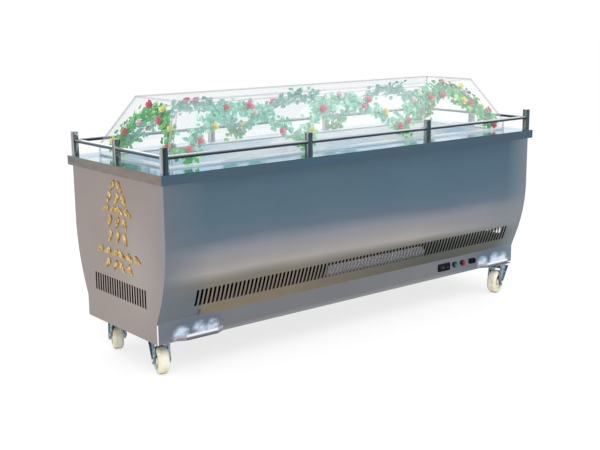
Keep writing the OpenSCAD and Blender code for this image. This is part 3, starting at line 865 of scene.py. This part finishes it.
def bounded(wall, carried):
    """Moves points that pass the end walls, the foot or the top back inside."""
    for v in carried:
        v.z = max(wall.base_z + 10 * MM, min(wall.top_z - 12 * MM, v.z))
        limit = reach(wall, v.z) + 14 * MM
        v[wall.along] = max(-limit, min(limit, v[wall.along]))
        across = 1 - wall.along
        inside = wall.perp(v.z, wall.middle + HALF_SPACE)
        outside = wall.perp(v.z, wall.middle - HALF_SPACE)
        v[across] = wall.sign * max(inside, min(outside, abs(v[across])))
    return carried


def grow_leaves(side, leaves, blooms):
    """Leaves round the garland's middle line, tucked behind the roses in blooms."""
    wall = WALLS[side]
    for s, z in garland_path(side):
        cluster = max(0.0, 1 - (z - wall.base_z) / 0.06)
        for _ in range((3 if wall.along == 0 else 4) + int(3 * cluster)):
            ds = random.gauss(0, 0.018 + 0.020 * cluster)
            dz = random.gauss(0, 0.017)
            length = random.uniform(0.018, 0.034)
            verts, faces = leaf_shape(length, random.uniform(0.0, 0.35), random.uniform(0.1, 0.5))
            turn = Quaternion((0, 0, 1), random.uniform(0, 2 * math.pi))
            axis = (random.uniform(-1, 1), random.uniform(-1, 1), 0)
            tip = Quaternion(axis, random.uniform(0, 0.6))
            rise = random.uniform(-12, 12) * MM
            here = max(wall.base_z + 0.014, z + dz)
            if any(math.hypot(s + ds - bs, here - bz) < 0.8 * size for bs, bz, size in blooms):
                rise = -11 * MM
            local = []
            for v in verts:
                v = tip @ (turn @ v)
                local.append(Vector((v.x, v.y, v.z + rise)))
            carried = bounded(wall, put(wall, s + ds, here, local))
            veil = veil_at(wall, side, s + ds, here)
            leaves.add(carried, faces, min(1.0, max(0.0, random.gauss(0.48, 0.25))), veil)


def grow_stem(side, stems, phase, radius=1.2 * MM, sides=6):
    """A thin stem that winds round the garland's middle line."""
    wall = WALLS[side]
    path = garland_path(side, 0.012)
    rings = []
    for i, (s, z) in enumerate(path):
        twist = 0.9 * i + phase
        rings.append((s, z + 5 * MM * math.sin(twist), 5 * MM * math.cos(twist) - 5 * MM))
    verts = []
    faces = []
    veils = []
    for i, (s, z, depth) in enumerate(rings):
        ahead = rings[min(i + 1, len(rings) - 1)]
        behind = rings[max(i - 1, 0)]
        run = Vector((ahead[0] - behind[0], ahead[1] - behind[1], 0)).normalized()
        across = Vector((-run.y, run.x, 0))
        local = []
        for k in range(sides):
            turn = 2 * math.pi * k / sides
            v = across * (radius * math.cos(turn))
            local.append(Vector((v.x, v.y, depth + radius * math.sin(turn))))
        verts += bounded(wall, put(wall, s, z, local))
        veils += [veil_at(wall, side, s, z)] * sides
        if i:
            start = (i - 1) * sides
            for k in range(sides):
                n = (k + 1) % sides
                faces.append((start + k, start + n, start + sides + n, start + sides + k))
    stems.add(verts, faces, 0.5, veils)


def petal(radius, height, width, lean, roll, rows=4, columns=5):
    """A cupped petal round +Z: vertices, faces, and a tone that rises to the lip."""
    verts = []
    tones = []
    for i in range(rows + 1):
        up = i / rows
        bulge = radius * (0.35 + 0.65 * math.sin(0.5 * math.pi * up)) + lean * up * up
        if up > 0.8:
            bulge += roll * (up - 0.8) / 0.2
        for j in range(columns + 1):
            side = 2 * j / columns - 1
            angle = side * width * (0.55 + 0.45 * math.sin(math.pi * min(1.0, up + 0.2)))
            drop = height * 0.22 * side * side * up
            x = bulge * math.cos(angle)
            y = bulge * math.sin(angle)
            verts.append(Vector((x, y, height * up - drop)))
            tones.append(0.15 + 0.85 * up)
    faces = []
    for i in range(rows):
        for j in range(columns):
            a = i * (columns + 1) + j
            faces.append((a, a + 1, a + columns + 2, a + columns + 1))
    return verts, faces, tones


# Rings of petals from the heart out: radius, height, half angle, lean, roll, petals
ROSE_RINGS = (
    (0.10, 0.62, 1.6, 0.00, 0.00, 2), (0.17, 0.62, 1.3, 0.03, 0.02, 3),
    (0.26, 0.60, 1.1, 0.07, 0.04, 4), (0.36, 0.52, 0.9, 0.12, 0.07, 5),
)


def rose(size):
    """Petals of a rose about +Z, of the given diameter."""
    petals = []
    for k, (radius, height, width, lean, roll, count) in enumerate(ROSE_RINGS):
        for i in range(count):
            verts, faces, tones = petal(
                radius * size * 0.62, height * size, width, lean * size, roll * size
            )
            angle = 2 * math.pi * i / count + 0.8 * k + random.uniform(-0.15, 0.15)
            turn = Quaternion((0, 0, 1), angle)
            base = 0.30 * size
            petals.append(([turn @ v - Vector((0, 0, base)) for v in verts], faces, tones))
    return petals


# Colours of a petal's heart and of its lip
ROSE_COLOURS = {
    "pink": (srgb(232, 28, 104), srgb(255, 98, 156)),
    "magenta": (srgb(188, 0, 78), srgb(248, 20, 108)),
    "red": (srgb(160, 0, 26), srgb(240, 24, 52)),
    "yellow": (srgb(236, 206, 30), srgb(255, 250, 112)),
    "blush": (srgb(226, 100, 140), srgb(255, 236, 240)),
}


def rose_colour(wall, side, z, count):
    """Cycles the colours: mostly reds by the foot, mostly pinks on the long slopes."""
    if z < wall.fold_z:
        cycle = ("yellow", "red", "magenta", "red")
    elif side in ("left", "right"):
        cycle = ("red", "yellow", "pink", "yellow", "magenta", "blush")
    else:
        cycle = ("pink", "pink", "yellow", "magenta", "pink", "blush")
    return cycle[count % len(cycle)]


def rose_places(side):
    """Where the roses sit along a garland: (s, z, diameter)."""
    wall = WALLS[side]
    gap = 0.098 if wall.along == 0 else 0.064
    travelled = 0.03
    places = []
    path = garland_path(side)
    for (s0, z0), (s1, z1) in zip(path, path[1:]):
        travelled += math.hypot(s1 - s0, z1 - z0)
        if travelled < gap:
            continue
        travelled = random.uniform(-0.02, 0.02)
        s = s1 + random.uniform(-0.035, 0.035)
        z = z1 + random.uniform(-0.030, 0.030)
        z = max(wall.base_z + 0.026, min(wall.top_z - 0.035, z))
        places.append((s, z, random.uniform(0.040, 0.050)))
    return places


def grow_roses(side, places, meshes):
    """Adds a rose at each place to the mesh of its colour."""
    wall = WALLS[side]
    for count, (s, z, size) in enumerate(places):
        colour = rose_colour(wall, side, z, count)
        axis = (random.uniform(-1, 1), random.uniform(-1, 1), 0)
        tip = Quaternion(axis, random.uniform(0, 0.35))
        veil = veil_at(wall, side, s, z)
        for verts, faces, tones in rose(size):
            local = [tip @ v + Vector((0, 0, 4 * MM)) for v in verts]
            meshes[colour].add(bounded(wall, put(wall, s, z, local, 19 * MM)), faces, tones, veil)


def build_garlands():
    """Builds the leaves by side, the stems in one piece and the roses by colour."""
    leaves = {side: Mesh() for side in SIDES}
    stems = Mesh()
    roses = {colour: Mesh() for colour in ROSE_COLOURS}
    for side in SIDES:
        places = rose_places(side)
        grow_leaves(side, leaves[side], places)
        for phase in (0, math.pi):
            grow_stem(side, stems, phase)
        grow_roses(side, places, roses)
    green = leaf_material()
    for side in SIDES:
        leaves[side].piece("garland_leaves_" + side, green, "silk_leaf")
    stems.piece("garland_stems", stem_material(), "silk_leaf")
    for colour, (deep, light) in ROSE_COLOURS.items():
        petals = petal_material("petal_" + colour, deep, light)
        roses[colour].piece("roses_" + colour, petals, "silk_petal")


# ---- Lamps and display ----

def lathe(rings, centre, back, segments):
    """Turns rings of (radius, height) about the axis through centre that points to -Y."""
    verts = []
    for radius, height in rings:
        for k in range(segments):
            turn = 2 * math.pi * k / segments
            x = centre.x + radius * math.cos(turn)
            z = centre.z + radius * math.sin(turn)
            verts.append((x, back - height, z))
    faces = []
    for i in range(len(rings) - 1):
        for k in range(segments):
            n = (k + 1) % segments
            a, b = i * segments, (i + 1) * segments
            faces.append((a + k, a + n, b + n, b + k))
    faces.append(tuple(range(segments))[::-1])
    faces.append(tuple((len(rings) - 1) * segments + k for k in range(segments)))
    return verts, faces


def build_lamp(node, lens_material, collar_material):
    """A lamp on the skirt: a black collar with a rounded lip round a domed lens."""
    low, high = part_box(node)
    radius = (high.x - low.x) / 2
    depth = high.y - low.y
    lens_radius = 0.86 * radius
    collar = 5 * MM
    lip = 1.2 * MM
    shoulder = 0.55 * depth
    groove = 0.6 * MM
    rings = [
        (radius, 0), (radius, collar - lip), (radius - 0.3 * lip, collar - 0.3 * lip),
        (radius - lip, collar), (lens_radius + groove, collar), (lens_radius, collar - groove),
    ]
    lens_ring = len(rings) - 1
    dome_turn = 0.47 * math.pi
    dome_steps = 8
    for i in range(dome_steps + 1):
        rise = dome_turn * i / dome_steps
        height = shoulder + (depth - shoulder) * math.sin(rise) / math.sin(dome_turn)
        rings.append((lens_radius * math.cos(rise), height))
    segments = 48
    verts, faces = lathe(rings, (low + high) / 2, high.y, segments)
    piece = add_piece(node + "_lens", verts, faces, collar_material, smooth=True)
    piece.data.materials.append(lens_material)
    back_face = len(faces) - 2
    for i, polygon in enumerate(piece.data.polygons):
        if i >= lens_ring * segments and i != back_face:
            polygon.material_index = 1
    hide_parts(node)


# The bars that each sign lights, by their usual letters
DIGIT_SEGMENTS = {"1": "bc", "8": "abcdefg", "-": "g"}


def build_display_figures(material):
    """Small seven-segment figures and a round lamp on the display's screen."""
    low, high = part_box("display")
    levels = sorted({round(v.co.y, 5) for v in NODES["display"].data.vertices})
    screen = levels[1]
    face = screen - 0.4 * MM
    tall, wide, bar = 12 * MM, 6.5 * MM, 1.5 * MM
    verts = []
    faces = []

    def prism(outline):
        start = len(verts)
        count = len(outline)
        verts.extend((x, face, z) for x, z in outline)
        verts.extend((x, screen, z) for x, z in outline)
        faces.append(tuple(start + i for i in range(count)))
        faces.append(tuple(start + count + i for i in range(count))[::-1])
        for i in range(count):
            n = (i + 1) % count
            faces.append((start + i, start + count + i, start + count + n, start + n))

    def stroke(x, z, length, upright):
        half = length / 2 - 0.3 * MM
        b = bar / 2
        outline = [
            (-half, 0), (-half + b, -b), (half - b, -b), (half, 0), (half - b, b), (-half + b, b),
        ]
        if upright:
            outline = [(-v, u) for u, v in outline]
        prism([(x + u, z + v) for u, v in outline])

    middle_z = (low.z + high.z) / 2
    places = {
        "a": (0, tall / 2, False), "g": (0, 0, False), "d": (0, -tall / 2, False),
        "b": (wide / 2, tall / 4, True), "c": (wide / 2, -tall / 4, True),
        "f": (-wide / 2, tall / 4, True), "e": (-wide / 2, -tall / 4, True),
    }
    for i, sign in enumerate("-18"):
        centre = low.x + (15 + 10 * i) * MM
        for name in DIGIT_SEGMENTS[sign]:
            dx, dz, upright = places[name]
            stroke(centre + dx, middle_z + dz, tall / 2 if upright else wide, upright)
    dot_x = high.x - 14 * MM
    dot_z = middle_z - 3 * MM
    dot_radius = 3 * MM
    dot = []
    for k in range(8):
        turn = 0.25 * math.pi * k
        dot.append((dot_x + dot_radius * math.cos(turn), dot_z + dot_radius * math.sin(turn)))
    prism(dot)
    add_piece("display_figures", verts, faces, material)


def build_controls():
    """The two pilot lamps and the display's figures."""
    collar = black_plastic()
    green = lens("green_lens", srgb(0, 58, 54), srgb(16, 150, 122))
    red = lens("red_lens", srgb(110, 0, 18), srgb(214, 8, 44))
    build_lamp("green_lamp", green, collar)
    build_lamp("red_lamp", red, collar)
    build_display_figures(segment_material())


# ---- Studio and camera ----

def build_camera():
    """The photo's camera. Its turns are in radians: yaw to the right, then pitch down."""
    place = (-3.2587, -3.8983, 1.5429)
    focal_length = 61.99
    yaw = 0.6779
    pitch = 0.2074
    roll = -0.0096
    ahead = Vector((
        math.sin(yaw) * math.cos(pitch), math.cos(yaw) * math.cos(pitch), -math.sin(pitch)
    ))
    right = Vector((math.cos(yaw), -math.sin(yaw), 0))
    up = right.cross(ahead)
    turned_right = right * math.cos(roll) + up * math.sin(roll)
    turned_up = up * math.cos(roll) - right * math.sin(roll)
    rotation = Matrix((turned_right, turned_up, -ahead)).transposed()
    camera = bpy.data.objects.new("camera", bpy.data.cameras.new("camera"))
    camera.matrix_world = Matrix.Translation(place) @ rotation.to_4x4()
    camera.data.sensor_width = 36
    camera.data.lens = focal_length
    camera.data.clip_end = 200
    bpy.context.scene.collection.objects.link(camera)
    bpy.context.scene.camera = camera


def seen_ray(tree):
    """1 for camera, glossy and transmission rays, and 0 for the rays that light the object."""
    path = tree.nodes.new("ShaderNodeLightPath")
    either = tree.nodes.new("ShaderNodeMath")
    either.operation = "MAXIMUM"
    seen = tree.nodes.new("ShaderNodeMath")
    seen.operation = "MAXIMUM"
    tree.links.new(path.outputs["Is Camera Ray"], either.inputs[0])
    tree.links.new(path.outputs["Is Glossy Ray"], either.inputs[1])
    tree.links.new(either.outputs[0], seen.inputs[0])
    tree.links.new(path.outputs["Is Transmission Ray"], seen.inputs[1])
    return seen.outputs[0]


def build_world():
    """White surroundings: full where they are seen or mirrored, weaker as light."""
    world = bpy.data.worlds.new("studio")
    world.use_nodes = True
    bpy.context.scene.world = world
    tree = world.node_tree
    lit = tree.nodes["Background"]
    lit.inputs["Color"].default_value = (1, 1, 1, 1)
    lit.inputs["Strength"].default_value = 0.75
    white = tree.nodes.new("ShaderNodeBackground")
    white.inputs["Color"].default_value = (1, 1, 1, 1)
    white.inputs["Strength"].default_value = 1
    mix = tree.nodes.new("ShaderNodeMixShader")
    tree.links.new(seen_ray(tree), mix.inputs[0])
    tree.links.new(lit.outputs[0], mix.inputs[1])
    tree.links.new(white.outputs[0], mix.inputs[2])
    tree.links.new(mix.outputs[0], tree.nodes["World Output"].inputs["Surface"])


def build_floor():
    """A pale floor that the camera sees as white, with the object's shadow on it."""
    size = 40
    corners = [(-size, -size, 0), (size, -size, 0), (size, size, 0), (-size, size, 0)]
    floor = new_piece("floor", corners, [(0, 1, 2, 3)])
    shader = Shader("floor", (0.9, 0.9, 0.9, 1), 0.9)
    floor.data.materials.append(shader.material)
    lift = shader.add("ShaderNodeEmission")
    lift.inputs["Strength"].default_value = 0.74
    paper = shader.add("ShaderNodeBsdfDiffuse")
    paper.inputs["Color"].default_value = (0.36, 0.36, 0.36, 1)
    both = shader.add("ShaderNodeAddShader")
    shader.link(lift.outputs[0], both.inputs[0])
    shader.link(paper.outputs[0], both.inputs[1])
    mix = shader.add("ShaderNodeMixShader")
    shader.link(seen_ray(shader.tree), mix.inputs[0])
    shader.link(shader.bsdf.outputs[0], mix.inputs[1])
    shader.link(both.outputs[0], mix.inputs[2])
    shader.link(mix.outputs[0], shader.tree.nodes["Material Output"].inputs["Surface"])


# Area lights: name, place, size in metres, power in watts
LIGHTS = (
    ("key", (-2.6, -3.4, 3.6), 3.0, 70),
    ("fill", (3.4, -2.6, 2.8), 3.0, 30),
    ("rear", (0.5, 3.6, 3.4), 3.5, 35),
)


def build_lights():
    """Area lights, all aimed at the middle of the object."""
    aim = Vector((0, 0, 0.6))
    for name, place, size, power in LIGHTS:
        data = bpy.data.lights.new(name, "AREA")
        data.shape = "SQUARE"
        data.size = size
        data.energy = power
        lamp = bpy.data.objects.new(name, data)
        lamp.location = place
        lamp.rotation_mode = "QUATERNION"
        lamp.rotation_quaternion = (aim - Vector(place)).to_track_quat("-Z", "Y")
        bpy.context.scene.collection.objects.link(lamp)


build_camera()
build_world()
build_floor()
build_lights()
paint_cad_nodes()
build_garlands()
build_controls()

bpy.context.scene.cycles.transparent_max_bounces = 32
bpy.context.scene.view_settings.view_transform = "Standard"
